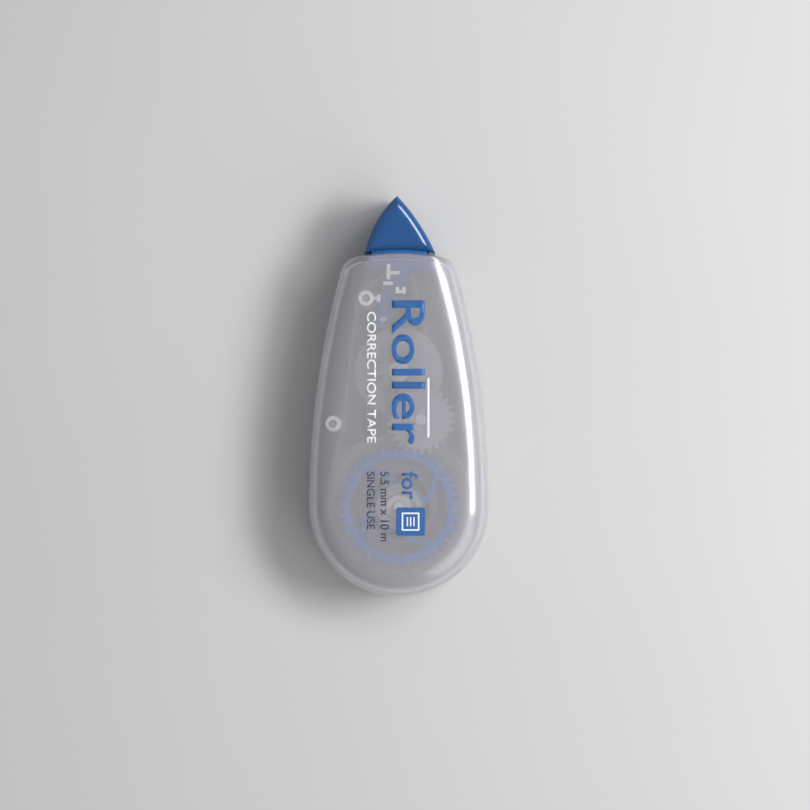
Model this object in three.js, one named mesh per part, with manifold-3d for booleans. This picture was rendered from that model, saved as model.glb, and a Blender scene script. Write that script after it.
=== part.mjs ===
// Correction tape roller: a teardrop casing of two frosted shells, with a tape mechanism inside and a
// pull-off cap over the head. Millimetres. +Y runs to the cap's tip and +Z out of the front face. The roller
// lies on its back on z = 0, with x = y = 0 at the middle of its length and width.
import * as THREE from 'three';
import { mergeVertices } from 'three/addons/utils/BufferGeometryUtils.js';
import Module from 'manifold-3d';

const wasm = await Module();
wasm.setup();

// ---------------------------------------------------------------- driving dimensions

// Casing outline: a round tail, two long side arcs, tight shoulders and a shallow brow round the mouth.
const bodyLength = 68.9;
const bodyWidth = 36;
const shoulderWidth = 23.4;
const shoulderDrop = 3.9;
const shoulderRadius = 4.2;
const browRadius = 42;
const sideWall = 1.3;
const faceWall = 1.3;
const frontRound = { width: 6, depth: 5, brow: 1 };
const rearRound = { width: 3, depth: 3, brow: 1 };
const sharpestCorner = 0.5;

// Where the shells meet: a lip on the rear shell stands inside a step in the front shell's rim.
const seamGap = 0.15;
const lipThickness = 0.55;
const lipHeight = 1.1;
const lipGap = 0.25;

// Cap: a pointed arch of two arcs over the head.
const capLength = 11.1;
const capLeft = -6.9;
const capRight = 7.3;
const capTipX = -0.3;
const capLeftRadius = 19.5;
const capRightRadius = 40;
const capWall = 1.1;
const capEdge = 1.3;
const capSeat = 0.3;
const capClearance = 0.35;
const capRearRise = 0.9;
const capFrontDrop = 1.3;

// Tape.
const tapeWidth = 5.5;
const rollRadius = 14.7;
const rollInnerRadius = 9.2;
const usedRadius = 6.3;
const filmThickness = 0.16;
const filmGap = 0.3;

// Layers from the rear face to the front face, in order.
const runningGap = 0.4;
const flangeThickness = 0.8;
const tapeGap = 0.4;
const guardThickness = 0.5;
const gearThickness = 1.8;
const retainerThickness = 0.9;
const frontSpace = 1.1;
const sideGap = 0.3;

// Gear train, all external spur gears of one module.
const gearModule = 0.5;
const pressureAngle = THREE.MathUtils.degToRad(20);
const backlash = 0.16;
const driveTeeth = 46;
const idlerTeeth = 26;
const takeUpTeeth = 16;
const reelSpacing = 27;

// Reels and bearings.
const bearingGap = 0.2;
const supplyPostRadius = 2.5;
const takeUpPostRadius = 2.1;
const idlerPostRadius = 1.2;
const hubWall = 0.9;
const flangeLip = 0.6;
const spindleRadius = 7.5;
const coreWall = 1;
const takeUpCoreRadius = 5.3;
const takeUpFlangeRadius = 8.9;
const driveRimWidth = 2.3;
const armCount = 4;
const armWidth = 1.5;
const armStart = THREE.MathUtils.degToRad(12);
const armSweep = THREE.MathUtils.degToRad(36);
const clutchSection = 0.9;
const clutchSkirt = 0.6;
const clutchDepth = 0.4;

// Posts that guide the tape, and the pins on them that locate the front shell.
const guideRadius = 1.55;
const guideBore = 0.75;
const guidePinRadius = 0.5;
const upperGuideX = -6.5;
const upperGuideDrop = 9.4;
const lowerGuideX = -13;
const lowerGuideRise = 16.6;

// Head: a holder in the mouth, a tip that the tape runs round, and a steel plate for its edge.
const neckLength = 2.6;
const flangeLength = 2;
const flangeReach = 0.9;
const slotLeft = -2.4;
const slotRight = 2.9;
const slotCorner = 0.5;
const mouthGap = 0.3;
const tipRadius = 0.5;
const tipSetback = 4.5;
const plateThickness = 0.4;
const plateGap = 0.1;
const plateLength = 6.6;
const plateReach = 2.7;
const cheekThickness = 0.4;
const cheekGap = 0.2;
const stemWidth = 3.4;
const stemTopX = 1.2;
const footPinRadius = 0.6;
const footClearance = 0.7;
const footBearing = THREE.MathUtils.degToRad(107.3);

// ---------------------------------------------------------------- places that follow

const length = bodyLength + capLength;
const supplyY = bodyWidth / 2 - length / 2;
const browY = bodyLength - length / 2;
const takeUpY = supplyY + reelSpacing;

const flangeZ = faceWall + runningGap;
const tapeZ = flangeZ + flangeThickness + tapeGap;
const tapeTopZ = tapeZ + tapeWidth;
const guardZ = tapeTopZ + sideGap;
const gearZ = guardZ + guardThickness + runningGap;
const gearTopZ = gearZ + gearThickness;
const retainerZ = gearTopZ + sideGap;
const innerFrontZ = retainerZ + retainerThickness + frontSpace;
const thickness = innerFrontZ + faceWall;
const seamZ = thickness / 2;
const capZ = capRearRise;
const capTopZ = thickness - capFrontDrop;

const pitchRadius = (teeth) => (teeth * gearModule) / 2;
const supplyAxis = new THREE.Vector2(0, supplyY);
const takeUpAxis = new THREE.Vector2(0, takeUpY);
const idlerAxis = circlesMeet(
  supplyAxis,
  pitchRadius(driveTeeth) + pitchRadius(idlerTeeth),
  takeUpAxis,
  pitchRadius(takeUpTeeth) + pitchRadius(idlerTeeth),
  new THREE.Vector2(bodyWidth, 0),
);

const upperGuide = new THREE.Vector2(upperGuideX, browY - upperGuideDrop);
const lowerGuide = new THREE.Vector2(lowerGuideX, supplyY + lowerGuideRise);
const stemFoot = polar(takeUpAxis, takeUpFlangeRadius + 2 * footPinRadius + footClearance, footBearing);

// ---------------------------------------------------------------- plane geometry

// The point where two circles cross, of the two the one nearer to a hint.
function circlesMeet(a, radiusA, b, radiusB, hint) {
  const apart = b.clone().sub(a);
  const d = apart.length();
  const along = (d * d + radiusA * radiusA - radiusB * radiusB) / (2 * d);
  const across = Math.sqrt(radiusA * radiusA - along * along);
  apart.normalize();
  const foot = a.clone().addScaledVector(apart, along);
  const normal = new THREE.Vector2(-apart.y, apart.x);
  const points = [across, -across].map((s) => foot.clone().addScaledVector(normal, s));
  return points[0].distanceTo(hint) < points[1].distanceTo(hint) ? points[0] : points[1];
}

// The centre of a circle of a given radius through two points, to the right of the way from one to the other.
function arcCentre(from, to, radius) {
  const chord = to.clone().sub(from);
  const half = chord.length() / 2;
  const middle = from.clone().add(to).multiplyScalar(0.5);
  const right = new THREE.Vector2(chord.y, -chord.x).normalize();
  return middle.addScaledVector(right, Math.sqrt(radius * radius - half * half));
}

function bearing(from, to) {
  return Math.atan2(to.y - from.y, to.x - from.x);
}

function polar(centre, radius, angle) {
  return new THREE.Vector2(centre.x + radius * Math.cos(angle), centre.y + radius * Math.sin(angle));
}

// Points along an arc, both ends included.
function arc(centre, radius, from, to, steps) {
  const points = [];
  for (let i = 0; i <= steps; i++) {
    points.push(polar(centre, radius, from + ((to - from) * i) / steps));
  }
  return points;
}

// The casing's outline, counter-clockwise, with its sides and its brow moved in by their own amounts.
function bodyOutline(sideInset, browInset) {
  const rise = bodyLength - bodyWidth / 2 - shoulderDrop;
  const shift = (bodyWidth - shoulderWidth) / 2;
  const sideRadius = (rise * rise + shift * shift) / (2 * shift);
  const corner = Math.max(shoulderRadius - sideInset, sharpestCorner);
  const sideCentre = new THREE.Vector2(bodyWidth / 2 - sideRadius, supplyY);
  const browCentre = new THREE.Vector2(0, browY - browRadius);
  const shoulder = circlesMeet(
    sideCentre,
    sideRadius - sideInset - corner,
    browCentre,
    browRadius - browInset - corner,
    new THREE.Vector2(shoulderWidth / 2, browY),
  );
  const sideEnd = bearing(sideCentre, shoulder);
  const browStart = bearing(browCentre, shoulder);
  const top = Math.PI / 2;
  const half = [
    ...arc(supplyAxis, bodyWidth / 2 - sideInset, -top, 0, 10),
    ...arc(sideCentre, sideRadius - sideInset, 0, sideEnd, 5).slice(1),
    ...arc(shoulder, corner, sideEnd, browStart, 4).slice(1),
    ...arc(browCentre, browRadius - browInset, browStart, top, 3).slice(1),
  ];
  const mirrored = half.slice(1, -1).map((p) => new THREE.Vector2(-p.x, p.y));
  return [...half, ...mirrored.reverse()];
}

// The cap's outline, counter-clockwise, moved in by an inset, with its base moved down by baseDrop.
function capOutline(inset, baseDrop = 0) {
  const baseLine = browY - capSeat;
  const tip = new THREE.Vector2(capTipX, browY + capLength);
  const left = new THREE.Vector2(capLeft, baseLine);
  const right = new THREE.Vector2(capRight, baseLine);
  const leftCentre = arcCentre(left, tip, capLeftRadius);
  const rightCentre = arcCentre(tip, right, capRightRadius);
  const browCentre = new THREE.Vector2(0, browY - browRadius);
  const leftArc = capLeftRadius - inset;
  const rightArc = capRightRadius - inset;
  const baseArc = browRadius + capSeat + inset - baseDrop;
  const apex = circlesMeet(leftCentre, leftArc, rightCentre, rightArc, tip);
  const baseLeft = circlesMeet(leftCentre, leftArc, browCentre, baseArc, left);
  const baseRight = circlesMeet(rightCentre, rightArc, browCentre, baseArc, right);
  const across = arc(browCentre, baseArc, bearing(browCentre, baseLeft), bearing(browCentre, baseRight), 4);
  const up = arc(rightCentre, rightArc, bearing(rightCentre, baseRight), bearing(rightCentre, apex), 5);
  const down = arc(leftCentre, leftArc, bearing(leftCentre, apex), bearing(leftCentre, baseLeft), 7);
  return [...across, ...up.slice(1), ...down.slice(1, -1)];
}

// One tooth after another round an involute gear, with a tooth centred on the angle phase.
function gearOutline(teeth, phase) {
  const pitch = pitchRadius(teeth);
  const base = pitch * Math.cos(pressureAngle);
  const root = pitch - 1.25 * gearModule;
  const tip = pitch + gearModule;
  const involute = (angle) => Math.tan(angle) - angle;
  const halfTooth = ((Math.PI * gearModule) / 2 - backlash / 2) / (2 * pitch);
  const halfAngle = (r) =>
    halfTooth + involute(pressureAngle) - involute(Math.acos(Math.min(1, base / r)));
  const flank = root < base ? [root, base, tip] : [root, tip];
  const points = [];
  for (let i = 0; i < teeth; i++) {
    const middle = phase + (i * 2 * Math.PI) / teeth;
    for (const r of flank) points.push(polar(new THREE.Vector2(), r, middle - halfAngle(r)));
    for (const r of [...flank].reverse()) points.push(polar(new THREE.Vector2(), r, middle + halfAngle(r)));
  }
  return points;
}

// The phase that puts a gear in mesh with a neighbour, given the direction from the neighbour to it.
const meshedPhase = (phase, neighbourTeeth, teeth, direction) =>
  direction + Math.PI + ((direction - phase) * neighbourTeeth) / teeth + Math.PI / teeth;

// The heading of the straight run from one circle to the next, each passed turning +1, left, or -1, right.
function runHeading(a, b) {
  const offset = b.turn * b.radius - a.turn * a.radius;
  return bearing(a.centre, b.centre) - Math.asin(offset / a.centre.distanceTo(b.centre));
}

// A strip along the tightest route round a row of circles.
function beltOutline(stops, width) {
  const runs = stops.slice(1).map((stop, i) => runHeading(stops[i], stop));
  const arcStep = 0.25;
  const side = (shift) =>
    stops.flatMap(({ centre, radius, turn }, i) => {
      const from = (runs[i - 1] ?? runs[i]) - (turn * Math.PI) / 2;
      let to = (runs[i] ?? runs[i - 1]) - (turn * Math.PI) / 2;
      if (turn * (to - from) < 0) to += turn * 2 * Math.PI;
      const steps = Math.ceil(Math.abs(to - from) / arcStep);
      const points = arc(centre, radius - turn * shift, from, to, Math.max(steps, 1));
      return steps ? points : points.slice(1);
    });
  return [...side(-width / 2), ...side(width / 2).reverse()];
}

// ---------------------------------------------------------------- solids

// A closed geometry as a manifold-3d solid.
function solid(geometry) {
  geometry.deleteAttribute('normal');
  geometry.deleteAttribute('uv');
  const merged = mergeVertices(geometry, 1e-4);
  const vertProperties = merged.attributes.position.array;
  const triVerts = new Uint32Array(merged.index.array);
  return new wasm.Manifold(new wasm.Mesh({ numProp: 3, vertProperties, triVerts }));
}

// A straight prism on an outline, with holes through it.
function prism(outline, z0, z1, holes = []) {
  const shape = new THREE.Shape(outline);
  shape.holes = holes.map((points) => new THREE.Path(points));
  const geometry = new THREE.ExtrudeGeometry(shape, { depth: z1 - z0, bevelEnabled: false });
  return solid(geometry.translate(0, 0, z0));
}

function block(x0, x1, y0, y1, z0, z1) {
  const geometry = new THREE.BoxGeometry(x1 - x0, y1 - y0, z1 - z0);
  return solid(geometry.translate((x0 + x1) / 2, (y0 + y1) / 2, (z0 + z1) / 2));
}

function pin(centre, radius, z0, z1, sides = 16) {
  const geometry = new THREE.CylinderGeometry(radius, radius, z1 - z0, sides);
  return solid(geometry.rotateX(Math.PI / 2).translate(centre.x, centre.y, (z0 + z1) / 2));
}

// A body of revolution about the Z axis, from a closed profile of [radius, height] points.
function turned(profile, sides = 48) {
  const points = [...profile, profile[0]].map(([r, z]) => new THREE.Vector2(r, z));
  return solid(new THREE.LatheGeometry(points, sides).rotateX(Math.PI / 2));
}

const ring = (inner, outer, z0, z1, sides) =>
  turned([[inner, z0], [outer, z0], [outer, z1], [inner, z1]], sides);

// A body through a stack of outlines that all have the same number of points, from the lowest up.
function stacked(layers) {
  const count = layers[0].outline.length;
  const positions = layers.flatMap(({ outline, z }) => outline.flatMap((p) => [p.x, p.y, z]));
  const index = [];
  for (let k = 0; k + 1 < layers.length; k++) {
    for (let i = 0; i < count; i++) {
      const a = k * count + i;
      const b = k * count + ((i + 1) % count);
      index.push(a, b, b + count, a, b + count, a + count);
    }
  }
  const last = (layers.length - 1) * count;
  for (const [a, b, c] of THREE.ShapeUtils.triangulateShape(layers[0].outline, [])) index.push(a, c, b);
  for (const [a, b, c] of THREE.ShapeUtils.triangulateShape(layers.at(-1).outline, [])) {
    index.push(last + a, last + b, last + c);
  }
  const geometry = new THREE.BufferGeometry();
  geometry.setAttribute('position', new THREE.Float32BufferAttribute(positions, 3));
  geometry.setIndex(index);
  return solid(geometry);
}

// Half of the casing's outer or inner form: straight from the seam, then rounded over into a flat face.
function casingHalf(fromZ, faceZ, inset, round) {
  const outward = Math.sign(faceZ - fromZ);
  const layers = [{ outline: bodyOutline(inset, inset), z: fromZ }];
  const steps = 4;
  for (let i = 0; i <= steps; i++) {
    const angle = ((Math.PI / 2) * i) / steps;
    const inwards = 1 - Math.cos(angle);
    const outline = bodyOutline(inset + round.width * inwards, inset + round.brow * inwards);
    layers.push({ outline, z: faceZ - outward * round.depth * (1 - Math.sin(angle)) });
  }
  return stacked(outward > 0 ? layers : layers.reverse());
}

const insideRound = (round) => ({
  width: round.width - sideWall,
  depth: round.depth - faceWall,
  brow: round.brow / 2,
});

// The cap's outer form or its cavity: its outline stacked up, with its front and rear edges rounded.
function capForm(inset, z0, z1, edge, baseDrop) {
  const layers = [];
  const steps = 3;
  for (let i = 0; i <= steps; i++) {
    const angle = ((Math.PI / 2) * i) / steps;
    const outline = capOutline(inset + edge * (1 - Math.sin(angle)), baseDrop);
    layers.push({ outline, z: z0 + edge * (1 - Math.cos(angle)) });
  }
  const upper = layers.map(({ outline, z }) => ({ outline, z: z0 + z1 - z }));
  return stacked([...layers, ...upper.reverse()]);
}

const union = (solids) => solids.reduce((a, b) => a.add(b));

// ---------------------------------------------------------------- scene graph

const roller = new THREE.Group();
const supplyGroup = new THREE.Group();
const takeUpGroup = new THREE.Group();
const idlerGroup = new THREE.Group();
supplyGroup.position.set(supplyAxis.x, supplyAxis.y, 0);
takeUpGroup.position.set(takeUpAxis.x, takeUpAxis.y, 0);
idlerGroup.position.set(idlerAxis.x, idlerAxis.y, 0);
roller.add(supplyGroup, takeUpGroup, idlerGroup);

const plastic = (color, roughness) => new THREE.MeshStandardMaterial({ color, roughness, metalness: 0 });
const blue = 0x2a66ab;
const white = 0xe9ebee;
const natural = 0xd7dade;

function frosted() {
  const material = plastic(0xc9cbd6, 0.45);
  material.transparent = true;
  material.opacity = 0.55;
  return material;
}

function place(name, body, material, group = roller) {
  const { numProp, vertProperties, triVerts } = body.getMesh();
  const positions = new Float32Array((vertProperties.length / numProp) * 3);
  for (let i = 0; i * numProp < vertProperties.length; i++) {
    positions.set(vertProperties.subarray(i * numProp, i * numProp + 3), i * 3);
  }
  const geometry = new THREE.BufferGeometry();
  geometry.setAttribute('position', new THREE.BufferAttribute(positions, 3));
  geometry.setIndex(new THREE.BufferAttribute(triVerts, 1));
  geometry.computeVertexNormals();
  const mesh = new THREE.Mesh(geometry, material);
  mesh.name = name;
  group.add(mesh);
}

// ---------------------------------------------------------------- casing

const neckInset = capWall + capClearance;
const neckZ = capZ + capWall + sideGap;
const neckTopZ = capTopZ - capWall - sideGap;
const mouthDepth = sideWall + mouthGap + flangeLength;
const guides = [upperGuide, lowerGuide];

// The mouth, cut a little larger than the head's neck all round.
const mouth = prism(capOutline(neckInset - mouthGap, mouthDepth), neckZ - mouthGap, neckTopZ + mouthGap);

function rearShell() {
  const post = (centre, radius, top, sides) => pin(centre, radius, faceWall / 2, top, sides);
  const lipRoot = sideWall - lipThickness;
  const lip = prism(bodyOutline(lipRoot, lipRoot), seamZ - lipHeight, seamZ + lipHeight);
  const hollow = casingHalf(seamZ + 2 * lipHeight, faceWall, sideWall, insideRound(rearRound));
  const walls = casingHalf(seamZ, 0, 0, rearRound).add(lip).subtract(hollow).subtract(mouth);
  const posts = [
    post(supplyAxis, supplyPostRadius, retainerZ + retainerThickness, 24),
    post(takeUpAxis, takeUpPostRadius, gearTopZ + sideGap, 24),
    post(idlerAxis, idlerPostRadius, gearTopZ + sideGap),
    post(stemFoot, 2 * footPinRadius, guardZ),
    post(stemFoot, footPinRadius, neckTopZ),
    ...guides.map((centre) => post(centre, guideRadius, guardZ)),
    ...guides.map((centre) => post(centre, guidePinRadius, innerFrontZ - 2 * sideGap)),
  ];
  const bores = [
    pin(supplyAxis, supplyPostRadius / 2, gearZ, thickness),
    pin(takeUpAxis, takeUpPostRadius / 2, gearZ, thickness),
  ];
  return walls.add(union(posts)).subtract(union(bores));
}

function frontShell() {
  const ribTop = innerFrontZ + faceWall / 2;
  const ribFoot = neckTopZ + sideGap;
  const step = sideWall - lipThickness - lipGap;
  const rim = prism(bodyOutline(step, step), seamZ - lipHeight, seamZ + lipHeight + lipGap);
  const hollow = casingHalf(seamZ - lipHeight, innerFrontZ, sideWall, insideRound(frontRound));
  const form = casingHalf(seamZ + seamGap, thickness, 0, frontRound);
  const walls = form.subtract(hollow.add(rim)).subtract(mouth);
  const sockets = guides.map((centre) => pin(centre, guideRadius, guardZ + sideGap, ribTop));
  const plugs = [
    pin(supplyAxis, supplyPostRadius / 2 - bearingGap, gearTopZ, ribTop),
    pin(takeUpAxis, takeUpPostRadius / 2 - bearingGap, gearTopZ - sideGap, ribTop),
  ];
  const bores = guides.map((centre) => pin(centre, guideBore, 0, innerFrontZ - sideGap));
  const { x, y } = upperGuide;
  const ribWidth = 0.7;
  const ribs = [
    block(x, x + 2.9, y - ribWidth / 2, y + ribWidth / 2, ribFoot, ribTop),
    block(x + 2.2, x + 2.9, y - ribWidth, y + ribWidth, ribFoot, ribTop),
    block(-2.4, -2.4 + ribWidth, y + 3.7, y + 6.8, ribFoot, ribTop),
    block(-2.4, 0.2, y + 4.7, y + 4.7 + ribWidth, ribFoot, ribTop),
    block(-3.1, -1.2, y + 2.6, y + 2.6 + ribWidth, ribFoot, ribTop),
    block(-0.6, 1.4, y + 0.9, y + 0.9 + ribWidth, ribFoot, ribTop),
    block(-0.6, -0.6 + ribWidth, y + 0.9, y + 2.2, ribFoot, ribTop),
    block(1.4 - ribWidth, 1.4, y + 0.9, y + 2.2, ribFoot, ribTop),
  ];
  return walls.add(union([...sockets, ...plugs, ...ribs])).subtract(union(bores));
}

place('rear_shell', rearShell(), frosted());
place('front_shell', frontShell(), frosted());

// ---------------------------------------------------------------- cap

function cap() {
  const outer = capForm(0, capZ, capTopZ, capEdge, 0);
  const cavity = capForm(capWall, capZ + capWall, capTopZ - capWall, capEdge - capWall, 4 * capWall);
  return outer.subtract(cavity);
}

place('cap', cap(), plastic(blue, 0.2));

// ---------------------------------------------------------------- tape route

const filmRadius = (radius) => radius + filmGap + filmThickness / 2;
const flangeTopY = browY - sideWall - mouthGap;
const flangeFootY = flangeTopY - flangeLength;
const tipCentre = new THREE.Vector2(capTipX, browY + capLength - tipSetback);
const slotGuide = new THREE.Vector2(slotLeft - slotCorner, flangeFootY + slotCorner);

// The tape leaves the full roll on its left, runs up to the head, turns over its tip and comes down to the
// take-up reel.
const route = [
  { centre: supplyAxis, radius: filmRadius(rollRadius), turn: -1 },
  { centre: lowerGuide, radius: filmRadius(guideRadius), turn: 1 },
  { centre: upperGuide, radius: filmRadius(guideRadius), turn: -1 },
  { centre: slotGuide, radius: filmRadius(slotCorner), turn: 1 },
  { centre: tipCentre, radius: tipRadius, turn: -1 },
  { centre: takeUpAxis, radius: filmRadius(usedRadius), turn: -1 },
];

const carrier = prism(beltOutline(route, filmThickness), tapeZ, tapeTopZ);
place('carrier_tape', carrier, plastic(0xf2f2ee, 0.6));

// ---------------------------------------------------------------- head

// The part of the head between the two runs of tape, from a height up to another, clear of them by a gap.
function betweenRuns(y0, y1, gap, z0, z1) {
  const [before, tip, after] = route.slice(3);
  const up = runHeading(before, tip);
  const down = runHeading(tip, after);
  const inner = tip.radius - filmThickness / 2 - gap;
  const left = polar(tip.centre, inner, up + Math.PI / 2);
  const right = polar(tip.centre, inner, down + Math.PI / 2);
  const at = (point, heading, y) => new THREE.Vector2(point.x + (y - point.y) / Math.tan(heading), y);
  return prism([at(left, up, y0), at(right, down, y0), at(right, down, y1), at(left, up, y1)], z0, z1);
}

const plateTopY = tipCentre.y + tipRadius - filmThickness / 2 - filmGap;
const tipBodyTopY = plateTopY - plateReach;

function headHolder() {
  const neck = prism(capOutline(neckInset, mouthDepth), neckZ, neckTopZ)
    .intersect(block(-bodyWidth, bodyWidth, flangeTopY - sideGap, browY + neckLength, 0, thickness));
  const sides = capOutline(neckInset, mouthDepth);
  const left = Math.min(...sides.map((p) => p.x)) - flangeReach;
  const right = Math.max(...sides.map((p) => p.x)) + flangeReach;
  const inside = prism(bodyOutline(sideWall + mouthGap, sideWall + mouthGap), 0, thickness);
  const flange = block(left, right, flangeFootY, flangeTopY, neckZ, neckTopZ).intersect(inside);
  const bridgeZ = tapeTopZ + cheekGap + cheekThickness + sideGap;
  const slot = block(slotLeft, slotRight, 0, length, 0, bridgeZ);
  const leadIn = block(slotGuide.x, slotRight, 0, slotGuide.y, 0, bridgeZ);
  const leadRound = pin(slotGuide, slotCorner, neckZ, bridgeZ);
  const stemTop = new THREE.Vector2(stemTopX, flangeTopY);
  const lean = bearing(stemFoot, stemTop);
  const quarter = Math.PI / 2;
  const bar = [
    ...arc(stemFoot, stemWidth / 2, lean + quarter, lean + 3 * quarter, 10),
    ...arc(stemTop, stemWidth / 2, lean - quarter, lean + quarter, 1),
  ];
  const stem = prism(bar, bridgeZ, neckTopZ);
  const footHole = pin(stemFoot, footPinRadius + bearingGap, 0, thickness);
  return neck.add(flange).subtract(slot.add(leadIn)).add(leadRound).add(stem).subtract(footHole);
}

function headTip() {
  const low = flangeFootY + sideGap;
  const core = betweenRuns(low, tipBodyTopY, filmGap, tapeZ - cheekGap, tapeTopZ + cheekGap);
  const cheek = (z) => betweenRuns(low, tipBodyTopY, -filmThickness, z, z + cheekThickness);
  const slotHalf = plateThickness / 2 + plateGap;
  const slot = block(
    capTipX - slotHalf,
    capTipX + slotHalf,
    plateTopY - plateLength - plateGap,
    length,
    0,
    thickness,
  );
  const cheeks = cheek(tapeZ - cheekGap - cheekThickness).add(cheek(tapeTopZ + cheekGap));
  return core.subtract(slot).add(cheeks);
}

function metalPlate() {
  const plate = new THREE.BoxGeometry(plateThickness, plateLength, tapeWidth + 2 * plateGap);
  return solid(plate.translate(capTipX, plateTopY - plateLength / 2, tapeZ + tapeWidth / 2));
}

place('head_holder', headHolder(), plastic(blue, 0.35));
place('head_tip', headTip(), plastic(blue, 0.35));
const steel = new THREE.MeshStandardMaterial({ color: 0xb9bcc0, roughness: 0.25, metalness: 1 });
place('metal_plate', metalPlate(), steel);

// ---------------------------------------------------------------- supply side

const supplyFlangeRadius = rollRadius + flangeLip;
const supplyBore = supplyPostRadius + bearingGap;
const supplyHub = supplyBore + hubWall;
const skirtRadius = spindleRadius - coreWall - clutchSection - 1.5 * sideGap;
const skirtZ = tapeTopZ - clutchDepth - clutchSection;

function supplyReel() {
  const flange = ring(supplyBore, supplyFlangeRadius, flangeZ, flangeZ + flangeThickness, 48);
  const hub = ring(supplyBore, supplyHub, flangeZ, guardZ + guardThickness);
  const spindle = ring(spindleRadius - coreWall, spindleRadius, flangeZ, tapeTopZ);
  return flange.add(hub).add(spindle);
}

function driveGear() {
  const outer = gearOutline(driveTeeth, 0);
  const rimInner = pitchRadius(driveTeeth) + gearModule - driveRimWidth;
  const rimHole = arc(new THREE.Vector2(), rimInner, 0, -2 * Math.PI, 48).slice(1);
  const rim = prism(outer, gearZ, gearTopZ, [rimHole]);
  const floorZ = gearZ + clutchSkirt;
  const skirtInner = skirtRadius - clutchSkirt;
  const under = [[supplyBore, gearZ], [skirtInner, gearZ], [skirtInner, skirtZ], [skirtRadius, skirtZ]];
  const over = [[skirtRadius, floorZ], [supplyHub, floorZ], [supplyHub, gearTopZ], [supplyBore, gearTopZ]];
  const hub = turned([...under, ...over], 36);
  const steps = 6;
  const arms = [];
  for (let i = 0; i < armCount; i++) {
    const side = (shift) => {
      const points = [];
      for (let k = 0; k <= steps; k++) {
        const r = supplyHub - 0.3 + ((rimInner - supplyHub + 0.8) * k) / steps;
        const turn = armStart + (i * 2 * Math.PI) / armCount + armSweep * (k / steps) ** 2;
        points.push(polar(new THREE.Vector2(), r, turn + shift / r));
      }
      return points;
    };
    arms.push(prism([...side(-armWidth / 2), ...side(armWidth / 2).reverse()], gearZ, gearTopZ));
  }
  return union([rim, hub, ...arms]);
}

function clutchRing() {
  const radius = spindleRadius - coreWall - sideGap - clutchSection / 2;
  const middle = new THREE.Vector2(radius, skirtZ + clutchSection / 2);
  const section = arc(middle, clutchSection / 2, 0, 2 * Math.PI, 8).slice(1);
  return turned(section.map((p) => [p.x, p.y]), 36);
}

function gearRetainer() {
  const rim = supplyHub + hubWall;
  const stepZ = retainerZ + retainerThickness / 2;
  const topZ = retainerZ + retainerThickness;
  const disc = [[supplyBore, retainerZ], [rim, retainerZ], [rim, stepZ], [supplyHub, stepZ]];
  return turned([...disc, [supplyHub, topZ], [supplyBore, topZ]], 32);
}

const coreInner = spindleRadius + sideGap;
const tapeCore = ring(coreInner, rollInnerRadius - sideGap, tapeZ, tapeTopZ);
const tapeRoll = ring(rollInnerRadius, rollRadius, tapeZ, tapeTopZ, 64);
const rollGuard = ring(coreInner, supplyFlangeRadius, guardZ, guardZ + guardThickness / 2, 64);
place('supply_reel', supplyReel(), plastic(natural, 0.4), supplyGroup);
place('tape_core', tapeCore, plastic(white, 0.5), supplyGroup);
place('tape_roll', tapeRoll, plastic(0xf4f3ec, 0.7), supplyGroup);
place('roll_guard', rollGuard, plastic(natural, 0.3), supplyGroup);
place('drive_gear', driveGear(), plastic(0x3a7fc0, 0.35), supplyGroup);
place('clutch_ring', clutchRing(), plastic(0x22242a, 0.8), supplyGroup);
place('gear_retainer', gearRetainer(), plastic(white, 0.4), supplyGroup);

// ---------------------------------------------------------------- gears to the take-up, and the take-up reel

const idlerPhase = meshedPhase(0, driveTeeth, idlerTeeth, bearing(supplyAxis, idlerAxis));
const takeUpPhase = meshedPhase(idlerPhase, idlerTeeth, takeUpTeeth, bearing(idlerAxis, takeUpAxis));
const takeUpBore = takeUpPostRadius + bearingGap;

function idlerGear() {
  const boreRadius = idlerPostRadius + bearingGap;
  const bore = arc(new THREE.Vector2(), boreRadius, 0, -2 * Math.PI, 16).slice(1);
  const hub = ring(boreRadius, boreRadius + hubWall, gearZ - runningGap / 2, gearTopZ + sideGap, 16);
  const gear = prism(gearOutline(idlerTeeth, idlerPhase), gearZ, gearTopZ, [bore]);
  return gear.add(hub);
}

function takeUpReel() {
  const bore = arc(new THREE.Vector2(), takeUpBore, 0, -2 * Math.PI, 24).slice(1);
  const gear = prism(gearOutline(takeUpTeeth, takeUpPhase), guardZ + guardThickness / 2, gearTopZ, [bore]);
  const frontZ = guardZ + guardThickness;
  const drum = [[takeUpBore, tapeZ], [takeUpCoreRadius, tapeZ], [takeUpCoreRadius, guardZ]];
  const flange = [[takeUpFlangeRadius, guardZ], [takeUpFlangeRadius, frontZ], [takeUpBore, frontZ]];
  return gear.add(turned([...drum, ...flange], 36));
}

place('idler_gear', idlerGear(), plastic(white, 0.4), idlerGroup);
place('take_up_reel', takeUpReel(), plastic(natural, 0.4), takeUpGroup);
const takeUpFlange = ring(takeUpBore, takeUpFlangeRadius, flangeZ, flangeZ + flangeThickness, 36);
const usedTape = ring(takeUpCoreRadius + sideGap, usedRadius, tapeZ, tapeTopZ, 36);
place('take_up_flange', takeUpFlange, plastic(natural, 0.4), takeUpGroup);
place('used_tape', usedTape, plastic(0xe6e6e0, 0.6), takeUpGroup);

export default roller;
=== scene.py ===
import cmath
import math

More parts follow.
